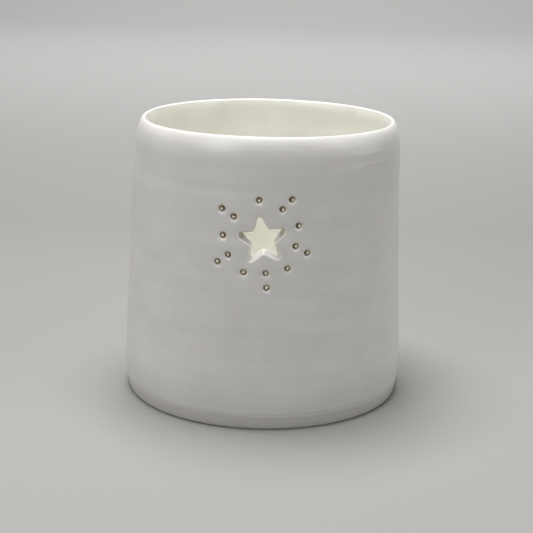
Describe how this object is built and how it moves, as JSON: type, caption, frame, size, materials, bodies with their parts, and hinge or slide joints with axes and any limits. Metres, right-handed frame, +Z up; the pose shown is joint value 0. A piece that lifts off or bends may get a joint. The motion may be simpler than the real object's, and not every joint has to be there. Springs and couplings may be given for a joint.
{
  "type": "tealight holder",
  "caption": "Cylindrical white porcelain tealight holder with a rounded lip, a star cut through the wall and poked dots round it, holding a loose tealight in a metal cup.",
  "frame": {"origin": "centre of the foot, on the surface that the holder stands on", "axes": "+Z up along the pot's axis; the star faces -Y; +X to the right seen from the star's side"},
  "size_m": [0.0818, 0.0818, 0.08],
  "materials": {
    "porcelain": "satin",
    "cup_aluminium": "satin",
    "wax": "satin",
    "tinned_steel": "satin",
    "wick_cotton": "matte"
  },
  "bodies": {
    "holder": {"holder_body": "porcelain"},
    "tealight": {"tealight_cup": "cup_aluminium"},
    "candle": {"candle_wax": "wax", "wick_sustainer": "tinned_steel", "wick": "wick_cotton"}
  },
  "joints": [
    {"name": "tealight_lift", "type": "slide", "parent": "holder", "child": "tealight", "axis": [0, 0, 1], "range_m": [0, 0.085]},
    {"name": "candle_lift", "type": "slide", "parent": "tealight", "child": "candle", "axis": [0, 0, 1], "range_m": [0, 0.02]}
  ]
}
